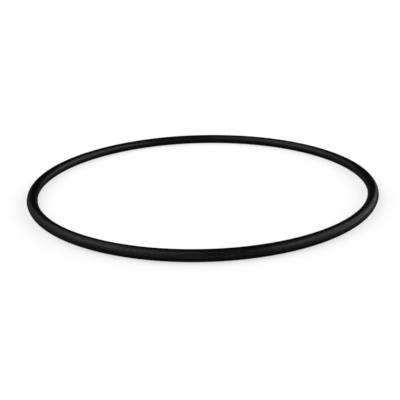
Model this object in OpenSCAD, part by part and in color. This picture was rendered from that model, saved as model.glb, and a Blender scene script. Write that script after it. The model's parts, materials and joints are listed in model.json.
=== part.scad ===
// Moulded rubber o-ring, lying flat: a seal for a groove that is 100 mm across its
// floor, in a housing bored to 105 mm.
// The whole ring is one moulding: a round cord swept round a circle, with the
// trimmed flash of the two mould halves left as a fine line inside and outside.
// The origin is the ring's centre on the mould's parting plane, and Z is its axis.

/* [Ring] */
// Inside diameter, measured to the round cord and without the flash
inner_d = 99.4; // [20:0.1:300]
// Diameter of the round cord
cord_d = 3.1; // [1.5:0.01:8]

/* [Parting line] */
// Height that the trimmed flash keeps above the cord
flash_h = 0.05; // [0.02:0.01:0.1]
// Width of the flat that the trimming leaves on top of the flash
flash_flat_w = 0.1; // [0.05:0.01:0.2]
// Width of the flash at its root, where the mould edges are worn round
flash_root_w = 0.24; // [0.22:0.01:0.5]

/* [Hidden] */

// Facets of a full turn, for the cord's section and for the ring
SECTION_FACETS = 96;
RING_FACETS = 360;
// How far the foot of the flash sits inside the cord, so that the two join cleanly
FLASH_SINK = 0.005;

cord_r = cord_d / 2;
// Radius of the circle that the cord's centre follows
path_r = inner_d / 2 + cord_r;
// Distance of the flash's foot from the middle of the cord
flash_foot_x = sqrt(pow(cord_r, 2) - pow(flash_root_w / 2, 2)) - FLASH_SINK;

// The trimmed flash on both sides of the cord, as one strip across its middle
module flash_strip() {
    land_x = cord_r + flash_h;
    land_z = flash_flat_w / 2;
    foot_z = flash_root_w / 2;
    polygon([
        [land_x, -land_z],
        [land_x, land_z],
        [flash_foot_x, foot_z],
        [-flash_foot_x, foot_z],
        [-land_x, land_z],
        [-land_x, -land_z],
        [-flash_foot_x, -foot_z],
        [flash_foot_x, -foot_z]
    ]);
}

// Section of the moulding: the round cord, with the flash on its equator,
// towards the ring's hole and away from it
module moulded_section() {
    circle(r = cord_r, $fn = SECTION_FACETS);
    flash_strip();
}

module o_ring() {
    color([0.06, 0.06, 0.065])
        rotate_extrude($fn = RING_FACETS)
            translate([path_r, 0]) moulded_section();
}

o_ring();
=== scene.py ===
"""A moulded black rubber o-ring, lying flat on a plain white floor.

The ring is one moulding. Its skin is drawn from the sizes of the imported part: a
round cord swept round a circle, with the trimmed flash of the two mould halves
on its inside and outside. The lengths in this file are metres.
"""

import json
import math

import bpy
from bpy.props import (
    FloatProperty,
    FloatVectorProperty,
    IntProperty,
    PointerProperty,
)
from mathutils import Matrix, Vector, noise


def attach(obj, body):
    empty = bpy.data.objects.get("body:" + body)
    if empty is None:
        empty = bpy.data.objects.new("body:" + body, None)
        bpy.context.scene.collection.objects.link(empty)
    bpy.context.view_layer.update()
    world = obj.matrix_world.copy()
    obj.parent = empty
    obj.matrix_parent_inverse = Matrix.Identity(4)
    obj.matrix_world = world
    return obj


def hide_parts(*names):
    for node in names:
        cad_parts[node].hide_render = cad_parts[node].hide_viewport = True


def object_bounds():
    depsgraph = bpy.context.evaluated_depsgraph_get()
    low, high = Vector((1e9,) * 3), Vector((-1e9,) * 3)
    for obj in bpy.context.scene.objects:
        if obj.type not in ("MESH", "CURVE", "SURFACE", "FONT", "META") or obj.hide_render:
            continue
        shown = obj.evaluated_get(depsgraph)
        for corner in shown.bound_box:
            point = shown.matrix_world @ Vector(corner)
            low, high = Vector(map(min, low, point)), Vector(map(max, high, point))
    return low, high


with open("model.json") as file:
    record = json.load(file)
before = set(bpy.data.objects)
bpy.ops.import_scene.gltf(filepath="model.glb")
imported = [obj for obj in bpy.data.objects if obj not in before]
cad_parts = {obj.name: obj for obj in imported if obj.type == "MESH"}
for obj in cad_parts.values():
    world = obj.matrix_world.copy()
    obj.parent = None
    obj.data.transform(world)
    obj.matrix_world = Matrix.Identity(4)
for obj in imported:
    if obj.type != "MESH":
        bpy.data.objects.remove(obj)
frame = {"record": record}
cad_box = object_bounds()

bl_info = {
    "name": "Moulded O-Ring",
    "version": (1, 0, 0),
    "blender": (4, 5, 0),
    "location": "3D View > Sidebar > O-Ring",
    "description": "Builds a moulded rubber o-ring on a plain studio floor",
    "category": "Add Mesh",
}

MM = 0.001
WHITE = (1.0, 1.0, 1.0, 1.0)


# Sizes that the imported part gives

def seat(name):
    """Radius and width of one of the part's two seats, the flats of its trimmed flash."""
    for mount in frame["record"]["mounts"]:
        if mount["name"] == name:
            return mount["dims"]["r_mm"] * MM, mount["dims"]["length_mm"] * MM
    raise KeyError(name)


INNER_FLAT_RADIUS, FLASH_FLAT_WIDTH = seat("groove_seat")
OUTER_FLAT_RADIUS, _ = seat("housing_seat")
FLOOR_HEIGHT = cad_box[0].z
CORD_RADIUS = (cad_box[1].z - cad_box[0].z) / 2
PATH_RADIUS = (INNER_FLAT_RADIUS + OUTER_FLAT_RADIUS) / 2
FLASH_HEIGHT = (OUTER_FLAT_RADIUS - INNER_FLAT_RADIUS) / 2 - CORD_RADIUS


class RingSizes(bpy.types.PropertyGroup):
    """Sizes of the moulding and of its mesh"""

    path_radius: FloatProperty(
        name="Ring Radius",
        description="Radius of the circle that the cord's centre follows",
        default=PATH_RADIUS, min=0.005, unit="LENGTH",
    )
    cord_radius: FloatProperty(
        name="Cord Radius",
        description="Radius of the round cord",
        default=CORD_RADIUS, min=0.0005, unit="LENGTH",
    )
    flash_height: FloatProperty(
        name="Flash Height",
        description="Height that the trimmed flash keeps above the cord",
        default=FLASH_HEIGHT, min=0.00001, unit="LENGTH",
    )
    flash_flat_width: FloatProperty(
        name="Flash Flat",
        description="Width of the flat that the trimming leaves on top of the flash",
        default=FLASH_FLAT_WIDTH, min=0.00002, unit="LENGTH",
    )
    flash_root_width: FloatProperty(
        name="Flash Root",
        description="Width of the flash where it leaves the cord",
        default=0.24 * MM, min=0.00004, unit="LENGTH",
    )
    trim_depth: FloatProperty(
        name="Trim Depth",
        description="Share of the flash's height that the rough trimming takes off at most",
        default=0.45, min=0.0, max=0.9, subtype="FACTOR",
    )
    trim_tear: FloatProperty(
        name="Trim Tear",
        description="Length along the ring of one tear of the rough trimming",
        default=1.4 * MM, min=0.0002, unit="LENGTH",
    )
    steps_round: IntProperty(
        name="Steps Round",
        description="Steps of the mesh round the ring",
        default=1152, min=48,
    )
    steps_over: IntProperty(
        name="Steps Over",
        description="Steps of the mesh over one half of the cord, from flash to flash",
        default=30, min=6,
    )


class RubberFinish(bpy.types.PropertyGroup):
    """Colour and finish of the moulded rubber"""

    colour: FloatVectorProperty(
        name="Rubber",
        description="Colour of the carbon-filled rubber",
        default=(0.0012, 0.0012, 0.0012), min=0.0, max=1.0, size=3, subtype="COLOR",
    )
    bloom_colour: FloatVectorProperty(
        name="Bloom",
        description="Colour of the thin wax bloom that dulls the rubber in places",
        default=(0.0026, 0.0026, 0.0026), min=0.0, max=1.0, size=3, subtype="COLOR",
    )
    trim_colour: FloatVectorProperty(
        name="Trimmed Flash",
        description="Colour of the torn rubber on the trimmed flash",
        default=(0.005, 0.005, 0.005), min=0.0, max=1.0, size=3, subtype="COLOR",
    )
    roughness: FloatProperty(
        name="Roughness",
        description="Roughness of the satin moulded surface",
        default=0.31, min=0.0, max=1.0, subtype="FACTOR",
    )
    gloss: FloatProperty(
        name="Gloss Level",
        description="Level of the surface's plain reflection where it is seen square on",
        default=0.38, min=0.0, max=1.0, subtype="FACTOR",
    )
    # Painted shade: the cord's lower half keeps only this share of its gloss, so that it reflects
    # less of the white floor and reads darker underneath.
    underside_shade_gloss: FloatProperty(
        name="Lower Gloss",
        description="Gloss below the parting line against that above it, as the lower half of "
        "the mould is blasted duller",
        default=0.22, min=0.0, max=1.0, subtype="FACTOR",
    )
    # Heights over which the painted shade of the lower half gives way to the full gloss.
    underside_shade_heights: FloatVectorProperty(
        name="Gloss Change",
        description="Heights, in cord radii above the parting line, between which it changes",
        default=(-0.2, 0.5), min=-1.0, max=1.0, size=2,
    )
    gloss_fade: FloatProperty(
        name="Gloss Fade",
        description="How fast the reflection fades towards the edges, as it does on fine grain",
        default=3.0, min=0.0, max=8.0,
    )
    grain_size: FloatProperty(
        name="Grain Size",
        description="Size of the fine grain that the blasted mould prints",
        default=0.15 * MM, min=0.00001, unit="LENGTH",
    )
    grain_depth: FloatProperty(
        name="Grain Depth",
        description="Depth of the fine grain",
        default=0.007 * MM, min=0.0, unit="LENGTH",
    )
    turning_pitch: FloatProperty(
        name="Turning Pitch",
        description="Distance between the fine lines that the turned mould prints round the ring",
        default=0.09 * MM, min=0.00001, unit="LENGTH",
    )
    turning_depth: FloatProperty(
        name="Turning Depth",
        description="Depth of the turning lines",
        default=0.002 * MM, min=0.0, unit="LENGTH",
    )
    mottle_size: FloatProperty(
        name="Mottle Size",
        description="Size of the faint spots that the mould's release film leaves",
        default=0.5 * MM, min=0.00005, unit="LENGTH",
    )
    mottle_share: FloatProperty(
        name="Mottle Share",
        description="Share of the gloss that the spots take away at most",
        default=0.32, min=0.0, max=1.0, subtype="FACTOR",
    )
    bloom_size: FloatProperty(
        name="Bloom Size",
        description="Size of the patches of bloom",
        default=9 * MM, min=0.0001, unit="LENGTH",
    )


def box_direction(name, azimuth, elevation):
    """The setting for where a softbox stands, with its defaults in degrees."""
    return FloatVectorProperty(
        name=name + " Direction",
        description="Azimuth from +X towards +Y, and elevation",
        default=(math.radians(azimuth), math.radians(elevation)), size=2, unit="ROTATION",
    )


def box_size(name, width, height):
    """The setting for the width and height of a softbox."""
    return FloatVectorProperty(
        name=name + " Size",
        description="Width and height of the softbox",
        default=(width, height), min=0.01, size=2, unit="LENGTH",
    )


def box_brightness(name, brightness):
    """The setting for the brightness of a softbox."""
    return FloatProperty(
        name=name + " Brightness",
        description="Brightness of the softbox's face, where a lit white floor is 1",
        default=brightness, min=0.0,
    )


class StageSettings(bpy.types.PropertyGroup):
    """Floor, lamps and camera"""

    floor_radius: FloatProperty(
        name="Floor Radius",
        description="Radius of the round floor",
        default=3.0, min=0.5, unit="LENGTH",
    )
    floor_colour: FloatVectorProperty(
        name="Floor",
        description="Colour of the floor",
        default=(0.39, 0.39, 0.39), min=0.0, max=1.0, size=3, subtype="COLOR",
    )
    floor_glow: FloatProperty(
        name="Floor Glow",
        description="Brightness that the floor's backdrop white adds to what the lamps give it",
        default=0.63, min=0.0, max=1.0,
    )
    floor_edge_glow: FloatProperty(
        name="Floor Edge Glow",
        description="Glow that the floor gains towards its edge, where the lamps fall off, so "
        "that it runs into the white backdrop without a line",
        default=0.21, min=0.0, max=1.0,
    )
    floor_fade: FloatVectorProperty(
        name="Floor Fade",
        description="Distances from the middle between which the floor gains that glow",
        default=(0.25, 1.5), min=0.0, size=2, unit="LENGTH",
    )
    world_level: FloatProperty(
        name="World Level",
        description="Brightness of the plain dim studio that fills the shadows",
        default=0.05, min=0.0, max=1.0,
    )
    backdrop_height: FloatProperty(
        name="Backdrop Height",
        description="Elevation at which the white backdrop fades out in reflections",
        default=math.radians(6), min=0.01, unit="ROTATION",
    )
    low_direction: box_direction("Low Strip", 25, 8.5)
    low_size: box_size("Low Strip", 5.9, 0.85)
    low_brightness: box_brightness("Low Strip", 5.05)
    key_direction: box_direction("Key", 4, 36)
    key_size: box_size("Key", 6.8, 2.15)
    key_brightness: box_brightness("Key", 3.0)
    side_direction: box_direction("Side", 156.5, 34.5)
    side_size: box_size("Side", 5.0, 3.6)
    side_brightness: box_brightness("Side", 1.72)
    front_direction: box_direction("Front", 201, 46)
    front_size: box_size("Front", 5.35, 5.3)
    front_brightness: box_brightness("Front", 1.17)
    lamp_distance: FloatProperty(
        name="Lamp Distance",
        description="Distance of the softboxes from the ring's centre",
        default=4.0, min=0.3, unit="LENGTH",
    )
    camera_distance: FloatProperty(
        name="Camera Distance",
        description="Distance of the camera from the ring's centre",
        default=199.50 * MM, min=0.01, unit="LENGTH",
    )
    camera_elevation: FloatProperty(
        name="Camera Elevation",
        description="Angle that the camera stands above the floor",
        default=math.radians(19.35), unit="ROTATION",
    )
    camera_aim: FloatVectorProperty(
        name="Camera Aim",
        description="Turn, tilt and roll of the camera away from looking at the ring's centre",
        default=(math.radians(0.230), math.radians(-1.479), math.radians(1.349)),
        size=3, unit="ROTATION",
    )
    camera_view_angle: FloatProperty(
        name="View Angle",
        description="Angle that the square picture takes in",
        default=math.radians(34.49), unit="ROTATION",
    )


# The ring's skin

# Worn crest of the flash: heights as shares of half its flat's width, each with the
# share of the flash's rise above the cord that is left there
CREST_POINTS = ((0.0, 1.0), (0.84, 1.0), (1.0, 0.96), (1.1, 0.86))
# Share of the rise half way from the flat's edge to the root
FLANK_SHARE = 0.5
# Foot that runs out into the cord: its height as a share of half the root's width,
# and its share of the rise
FOOT_HEIGHT = 0.94
FOOT_SHARE = 0.08


def flash_outline(sizes, root_angle):
    """Points of the outer flash from the middle of its flat up to its foot, in the form
    that section_outline gives. The angle is that of its root, round the cord."""
    flat = sizes.flash_flat_width / 2
    root = sizes.flash_root_width / 2
    root_out = sizes.cord_radius * math.cos(root_angle)
    rise = sizes.cord_radius + sizes.flash_height - root_out
    flank = [(flat * height, share) for height, share in CREST_POINTS]
    flank += [((flat + root) / 2, FLANK_SHARE), (root * FOOT_HEIGHT, FOOT_SHARE)]
    return [(root_out + rise * share, height, share) for height, share in flank]


def section_outline(sizes):
    """Points of the cord's section as (outward, height, flash share), once round from
    the outer flash over the top. The flash share says how far a point moves when
    the trimming takes off the flash's height."""
    root_angle = math.asin(sizes.flash_root_width / 2 / sizes.cord_radius)
    outer_flash = flash_outline(sizes, root_angle)
    arc = []
    for step in range(sizes.steps_over + 1):
        angle = root_angle + (math.pi - 2 * root_angle) * step / sizes.steps_over
        out = sizes.cord_radius * math.cos(angle)
        arc.append((out, sizes.cord_radius * math.sin(angle), 0.0))
    inner_flash = [(-out, height, share) for out, height, share in reversed(outer_flash)]
    upper = outer_flash + arc + inner_flash
    lower = [(out, -height, share) for out, height, share in reversed(upper[1:-1])]
    return upper + lower


# Distance in the noise between the tears of the outer and of the inner flash
SIDE_OFFSET = 7.3
# How much finer the fine tears are than the long ones, and how strong against them
FINE_TEAR_SCALE = 2.7
FINE_TEAR_STRENGTH = 0.5
# Wear of the trimming where there is no tear, and how much a tear changes it
MEAN_WEAR = 0.5
TEAR_WEAR = 0.8


def trimmed_share(angle, side, sizes):
    """How much of the flash's height is left at an angle round the ring, 1 being all.
    The side is 1 for the outer flash and -1 for the inner one."""
    around = sizes.path_radius / sizes.trim_tear
    place = Vector((
        math.cos(angle) * around,
        math.sin(angle) * around,
        side * SIDE_OFFSET,
    ))
    tear = noise.noise(place) + FINE_TEAR_STRENGTH * noise.noise(place * FINE_TEAR_SCALE)
    worn = min(1.0, max(0.0, MEAN_WEAR + TEAR_WEAR * tear))
    return 1.0 - sizes.trim_depth * worn


def ring_vertices(outline, sizes):
    """Corners of the skin, section by section round the ring."""
    rise = sizes.flash_height
    corners = []
    for step in range(sizes.steps_round):
        angle = 2 * math.pi * step / sizes.steps_round
        cosine, sine = math.cos(angle), math.sin(angle)
        outer_cut = rise * (1 - trimmed_share(angle, 1, sizes))
        inner_cut = rise * (1 - trimmed_share(angle, -1, sizes))
        for out, height, share in outline:
            cut = outer_cut if out > 0 else -inner_cut
            radius = sizes.path_radius + out - share * cut
            corners.append((radius * cosine, radius * sine, height))
    return corners


def ring_faces(section_count, sizes):
    """Four-cornered faces of a closed ring of closed sections, facing outwards."""
    faces = []
    for step in range(sizes.steps_round):
        here = step * section_count
        there = (step + 1) % sizes.steps_round * section_count
        for point in range(section_count):
            after = (point + 1) % section_count
            faces.append((here + point, there + point, there + after, here + after))
    return faces


MAP_STRIPS = 6
MAP_MARGIN = 0.004


def lay_out_map(mesh, outline, sizes):
    """A texture map of the skin, cut into strips that lie one above another."""
    lengths = [0.0]
    closed = outline + outline[:1]
    for (out_a, height_a, _), (out_b, height_b, _) in zip(closed, closed[1:]):
        lengths.append(lengths[-1] + math.hypot(out_b - out_a, height_b - height_a))
    across = [length / lengths[-1] for length in lengths]
    per_strip = sizes.steps_round // MAP_STRIPS
    strip_height = 1 / MAP_STRIPS
    used = 1 - 2 * MAP_MARGIN
    coordinates = []
    for step in range(sizes.steps_round):
        strip, place = divmod(step, per_strip)
        left, right = (MAP_MARGIN + used * side / per_strip for side in (place, place + 1))
        for point in range(len(outline)):
            low, high = (
                strip_height * (strip + MAP_MARGIN + used * share)
                for share in across[point:point + 2]
            )
            coordinates += [left, low, right, low, right, high, left, high]
    layer = mesh.uv_layers.new(name="OFBake")
    layer.uv.foreach_set("vector", coordinates)


# Materials

class Nodes:
    """Adds nodes to one node tree and links them."""

    def __init__(self, tree):
        self.tree = tree
        tree.nodes.clear()

    def add(self, kind, inputs=None, **settings):
        """A new node. An input is a plain value, or the socket that feeds it."""
        node = self.tree.nodes.new(kind)
        for name, value in settings.items():
            setattr(node, name, value)
        for name, value in (inputs or {}).items():
            if isinstance(value, bpy.types.NodeSocket):
                self.tree.links.new(value, node.inputs[name])
            else:
                node.inputs[name].default_value = value
        return node

    def math(self, operation, first, second=0.0):
        """The result socket of one sum."""
        return self.add("ShaderNodeMath", {0: first, 1: second}, operation=operation).outputs[0]

    def blend(self, share, first, second):
        """The colour between two colours. The node's sockets for colours have no names of
        their own, so they are given by their places."""
        sockets = {0: share, 6: first, 7: second}
        return self.add("ShaderNodeMix", sockets, data_type="RGBA").outputs[2]

    def spread(self, value, low, high, new_low=0.0, new_high=1.0):
        """The value stretched from one range to another, and kept inside it."""
        sockets = {0: value, 1: low, 2: high, 3: new_low, 4: new_high}
        node = self.add("ShaderNodeMapRange", sockets, interpolation_type="SMOOTHSTEP")
        return node.outputs[0]

    def shade(self, shader, output="ShaderNodeOutputMaterial"):
        """Makes that shader the surface."""
        self.add(output, {"Surface": shader})


def new_material(name):
    """An empty material and the helper that fills it."""
    material = bpy.data.materials.new(name)
    material.use_nodes = True
    return material, Nodes(material.node_tree)


def solid_colour(colour):
    """The colour with full cover."""
    return (*colour, 1.0)


# Length along the ring over which its turning lines change
TURNING_RUN = 40 * MM
# Levels of the noise between which bloom, and the spots of the mottle, come up
BLOOM_LEVELS = (0.38, 0.68)
MOTTLE_LEVELS = (0.35, 0.65)
# What bloom, grain and the torn flash add to the roughness at most
BLOOM_ROUGHNESS = 0.05
GRAIN_ROUGHNESS = 0.06
TORN_ROUGHNESS = 0.2
# Blend at which Layer Weight's Facing is 1 less the cosine of the angle it is seen at
PLAIN_BLEND = 0.5


def patches(nodes, place, size, layers, strength=0.5):
    """Noise in patches of that size. Each of its finer layers has that strength against
    the one before."""
    return nodes.add("ShaderNodeTexNoise", {
        "Vector": place,
        "Scale": 1 / size,
        "Detail": layers,
        "Roughness": strength,
    }).outputs[0]


def turning_lines(nodes, axes, sizes, finish):
    """Lines that run round the ring: noise that is fine across the cord and changes
    slowly along it. The axes are the surface's X, Y and Z."""
    squares = [nodes.math("POWER", axis, 2.0) for axis in (axes[0], axes[1])]
    radius = nodes.math("SQRT", nodes.math("ADD", *squares))
    outward = nodes.math("SUBTRACT", radius, sizes.path_radius)
    slow = 1 / TURNING_RUN
    place = nodes.add("ShaderNodeCombineXYZ", {
        0: nodes.math("DIVIDE", outward, finish.turning_pitch),
        1: nodes.math("DIVIDE", axes[2], finish.turning_pitch),
        2: nodes.math("MULTIPLY", axes[0], slow),
    }).outputs[0]
    return nodes.add("ShaderNodeTexNoise", {
        "Vector": place,
        "W": nodes.math("MULTIPLY", axes[1], slow),
        "Scale": 1.0,
        "Detail": 2.0,
    }, noise_dimensions="4D").outputs[0]


def relief(nodes, height, depth, under=None):
    """The normal of the surface with that relief, laid over another relief's normal
    where one is given."""
    sockets = {"Height": height, "Distance": depth, "Strength": 1.0}
    if under is not None:
        sockets["Normal"] = under
    return nodes.add("ShaderNodeBump", sockets).outputs[0]


def gloss_level(nodes, height, mottle, sizes, finish):
    """Level of the plain reflection. It fades as the surface turns away, is cut on the lower half
    of the cord as painted shade, so that the underside reflects less of the white floor, and has
    faint spots."""
    turned_away = nodes.add("ShaderNodeLayerWeight", {"Blend": PLAIN_BLEND}).outputs["Facing"]
    square_on = nodes.math("SUBTRACT", 1.0, turned_away)
    faded = nodes.math("POWER", square_on, finish.gloss_fade)
    level = nodes.math("MULTIPLY", faded, finish.gloss)
    change_starts, change_ends = (share * sizes.cord_radius for share in finish.underside_shade_heights)
    # Painted shade: the lower half of the cord reflects less of the white floor.
    halves = nodes.spread(height, change_starts, change_ends, finish.underside_shade_gloss, 1.0)
    spots = nodes.math("SUBTRACT", 1.0, nodes.math("MULTIPLY", mottle, finish.mottle_share))
    return nodes.math("MULTIPLY", level, nodes.math("MULTIPLY", halves, spots))


def rubber_material(finish, sizes):
    """Black moulded rubber: satin and finely grained, with faint lines round the ring from the
    turned mould, patches of bloom, faint spots in its gloss, less gloss on the lower half as
    painted shade, so that it reflects less of the floor, and a dull torn line on the flash."""
    material, nodes = new_material("moulded_rubber")
    place = nodes.add("ShaderNodeTexCoord").outputs["Object"]
    axes = nodes.add("ShaderNodeSeparateXYZ", {0: place}).outputs
    height = axes[2]
    turning = turning_lines(nodes, axes, sizes, finish)
    grain = patches(nodes, place, finish.grain_size, layers=3.0, strength=0.6)
    bloom = patches(nodes, place, finish.bloom_size, layers=4.0, strength=0.55)
    bloom = nodes.spread(bloom, *BLOOM_LEVELS)
    mottle = patches(nodes, place, finish.mottle_size, layers=1.0)
    mottle = nodes.spread(mottle, *MOTTLE_LEVELS)
    torn = nodes.spread(
        nodes.math("ABSOLUTE", height),
        sizes.flash_flat_width / 2, sizes.flash_root_width / 2, 1.0, 0.0,
    )

    colour = nodes.blend(
        bloom, solid_colour(finish.colour), solid_colour(finish.bloom_colour)
    )
    colour = nodes.blend(torn, colour, solid_colour(finish.trim_colour))
    roughness = finish.roughness
    for share, most in (
        (bloom, BLOOM_ROUGHNESS),
        (grain, GRAIN_ROUGHNESS),
        (torn, TORN_ROUGHNESS),
    ):
        roughness = nodes.math("ADD", roughness, nodes.math("MULTIPLY", share, most))
    lines = relief(nodes, turning, finish.turning_depth)
    rubber = nodes.add("ShaderNodeBsdfPrincipled", {
        "Base Color": colour,
        "Roughness": roughness,
        "Specular IOR Level": gloss_level(nodes, height, mottle, sizes, finish),
        "Normal": relief(nodes, grain, finish.grain_depth, under=lines),
    })
    nodes.shade(rubber.outputs[0])
    return material


def seen_rays(nodes):
    """Two sockets: 1 for rays straight from the camera, and 1 for rays that come by a
    reflection or through glass. Both are 0 for the rays that light things."""
    path = nodes.add("ShaderNodeLightPath").outputs
    mirrored = nodes.math("MAXIMUM", path["Is Glossy Ray"], path["Is Transmission Ray"])
    return path["Is Camera Ray"], mirrored


def floor_material(stage):
    """Plain white floor. It is lit by the lamps, so it keeps the ring's shadow. A glow
    that only the camera, reflections and glass see brings it up to the white of the
    backdrop, and rises towards its edge, where the lamps fall off."""
    material, nodes = new_material("studio_floor")
    lit = nodes.add("ShaderNodeBsdfDiffuse", {"Color": solid_colour(stage.floor_colour)})
    place = nodes.add("ShaderNodeTexCoord").outputs["Object"]
    distance = nodes.add("ShaderNodeVectorMath", {0: place}, operation="LENGTH").outputs["Value"]
    edge_glow = nodes.spread(distance, *stage.floor_fade, 0.0, stage.floor_edge_glow)
    glow = nodes.math("ADD", edge_glow, stage.floor_glow)
    seen = nodes.math("MAXIMUM", *seen_rays(nodes))
    white = nodes.add("ShaderNodeEmission", {
        "Color": WHITE,
        "Strength": nodes.math("MULTIPLY", seen, glow),
    })
    both = nodes.add("ShaderNodeAddShader", {0: lit.outputs[0], 1: white.outputs[0]})
    nodes.shade(both.outputs[0])
    return material


def surroundings(stage):
    """A plain dim studio round a white backdrop. The camera sees the backdrop
    everywhere, and reflections and glass see it low round the floor."""
    world = bpy.data.worlds.new("studio_surroundings")
    world.use_nodes = True
    nodes = Nodes(world.node_tree)
    direction = nodes.add("ShaderNodeTexCoord").outputs["Generated"]
    rise = nodes.add("ShaderNodeSeparateXYZ", {0: direction}).outputs["Z"]
    low_part = nodes.spread(rise, 0.0, math.sin(stage.backdrop_height), 1.0, 0.0)
    straight, mirrored = seen_rays(nodes)
    backdrop = nodes.math("MAXIMUM", straight, nodes.math("MULTIPLY", mirrored, low_part))
    background = nodes.add("ShaderNodeBackground", {
        "Color": WHITE,
        "Strength": nodes.math("MAXIMUM", backdrop, stage.world_level),
    })
    nodes.shade(background.outputs[0], output="ShaderNodeOutputWorld")
    return world


# Pieces and stage

def new_object(name, data):
    """An object in the scene."""
    piece = bpy.data.objects.new(name, data)
    bpy.context.scene.collection.objects.link(piece)
    return piece


FLOOR_CORNERS = 128


def floor_disc(radius):
    """Mesh of a round floor, level with the ring's underside."""
    rim = []
    for corner in range(FLOOR_CORNERS):
        angle = 2 * math.pi * corner / FLOOR_CORNERS
        rim.append((radius * math.cos(angle), radius * math.sin(angle), FLOOR_HEIGHT))
    mesh = bpy.data.meshes.new("studio_floor")
    mesh.from_pydata(rim, [], [tuple(range(FLOOR_CORNERS))])
    return mesh


SOFTBOXES = ("low", "key", "side", "front")


def add_softbox(name, stage):
    """A soft rectangular lamp that faces the ring, with the settings of that name."""
    azimuth, elevation = getattr(stage, name + "_direction")
    width, height = getattr(stage, name + "_size")
    towards = Vector((
        math.cos(azimuth) * math.cos(elevation),
        math.sin(azimuth) * math.cos(elevation),
        math.sin(elevation),
    ))
    lamp = bpy.data.lights.new(name + "_softbox", "AREA")
    lamp.shape = "RECTANGLE"
    lamp.size, lamp.size_y = width, height
    # A flat lamp gives out pi times its brightness from each square metre
    lamp.energy = math.pi * width * height * getattr(stage, name + "_brightness")
    holder = new_object(name + "_softbox", lamp)
    holder.location = towards * stage.lamp_distance
    holder.rotation_euler = towards.to_track_quat("Z", "Y").to_euler()
    holder.visible_camera = False


# Nearest and farthest distance that the camera sees
CAMERA_REACH = (5 * MM, 50.0)


def camera_axes(place, aim):
    """Directions to the right, up and forward of a camera at that place. It looks at
    the ring's centre, and is then turned, tilted and rolled by the aim's angles."""
    forward = -place.normalized()
    right = forward.cross(Vector((0.0, 0.0, 1.0))).normalized()
    up = right.cross(forward)
    turn, tilt, roll = aim
    turned = Matrix.Rotation(turn, 3, up)
    forward, right = turned @ forward, turned @ right
    tilted = Matrix.Rotation(tilt, 3, right)
    forward, up = tilted @ forward, tilted @ up
    rolled = Matrix.Rotation(roll, 3, forward)
    return rolled @ right, rolled @ up, forward


def add_camera(stage):
    """The camera of the product view."""
    data = bpy.data.cameras.new("product_camera")
    data.angle = stage.camera_view_angle
    data.clip_start, data.clip_end = CAMERA_REACH
    elevation = stage.camera_elevation
    place = Vector((0.0, -math.cos(elevation), math.sin(elevation))) * stage.camera_distance
    right, up, forward = camera_axes(place, stage.camera_aim)
    turn = Matrix((right, up, -forward)).transposed()
    camera = new_object("product_camera", data)
    camera.matrix_world = Matrix.Translation(place) @ turn.to_4x4()
    bpy.context.scene.camera = camera


class ORING_OT_make_ring(bpy.types.Operator):
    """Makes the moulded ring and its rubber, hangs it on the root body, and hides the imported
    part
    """

    bl_idname = "o_ring.make_ring"
    bl_label = "Make Ring"

    def execute(self, context):
        sizes = context.scene.ring_sizes
        outline = section_outline(sizes)
        mesh = bpy.data.meshes.new("o_ring_moulding")
        mesh.from_pydata(ring_vertices(outline, sizes), [], ring_faces(len(outline), sizes))
        mesh.shade_smooth()
        lay_out_map(mesh, outline, sizes)
        mesh.materials.append(rubber_material(context.scene.rubber_finish, sizes))
        ring = new_object("o_ring_moulding", mesh)
        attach(ring, "root")
        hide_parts("o_ring")
        return {"FINISHED"}


class ORING_OT_make_stage(bpy.types.Operator):
    """Makes the white floor, the softboxes, the surroundings and the camera"""

    bl_idname = "o_ring.make_stage"
    bl_label = "Make Stage"

    def execute(self, context):
        scene = context.scene
        stage = scene.stage_settings
        mesh = floor_disc(stage.floor_radius)
        mesh.materials.append(floor_material(stage))
        floor = new_object("studio_floor", mesh)
        for name in SOFTBOXES:
            add_softbox(name, stage)
        scene.world = surroundings(stage)
        scene.view_settings.view_transform = "Standard"
        add_camera(stage)
        return {"FINISHED"}


class ORING_PT_panel(bpy.types.Panel):
    """Lists the steps and the settings in the 3D view's sidebar"""

    bl_idname = "ORING_PT_panel"
    bl_label = "Moulded O-Ring"
    bl_space_type = "VIEW_3D"
    bl_region_type = "UI"
    bl_category = "O-Ring"

    def draw(self, context):
        layout = self.layout
        layout.operator(ORING_OT_make_ring.bl_idname)
        layout.operator(ORING_OT_make_stage.bl_idname)
        for group in (
            context.scene.ring_sizes,
            context.scene.rubber_finish,
            context.scene.stage_settings,
        ):
            box = layout.box()
            for name in group.__annotations__:
                box.prop(group, name)


CLASSES = (
    RingSizes,
    RubberFinish,
    StageSettings,
    ORING_OT_make_ring,
    ORING_OT_make_stage,
    ORING_PT_panel,
)


def register():
    """Registers the classes and puts their settings on the scene."""
    for cls in CLASSES:
        bpy.utils.register_class(cls)
    bpy.types.Scene.ring_sizes = PointerProperty(type=RingSizes)
    bpy.types.Scene.rubber_finish = PointerProperty(type=RubberFinish)
    bpy.types.Scene.stage_settings = PointerProperty(type=StageSettings)


def unregister():
    """Takes the settings and the classes away again."""
    del bpy.types.Scene.stage_settings
    del bpy.types.Scene.rubber_finish
    del bpy.types.Scene.ring_sizes
    for cls in reversed(CLASSES):
        bpy.utils.unregister_class(cls)


def main():
    """Builds the ring and its stage."""
    register()
    bpy.ops.o_ring.make_ring()
    bpy.ops.o_ring.make_stage()


if __name__ == "__main__":
    main()
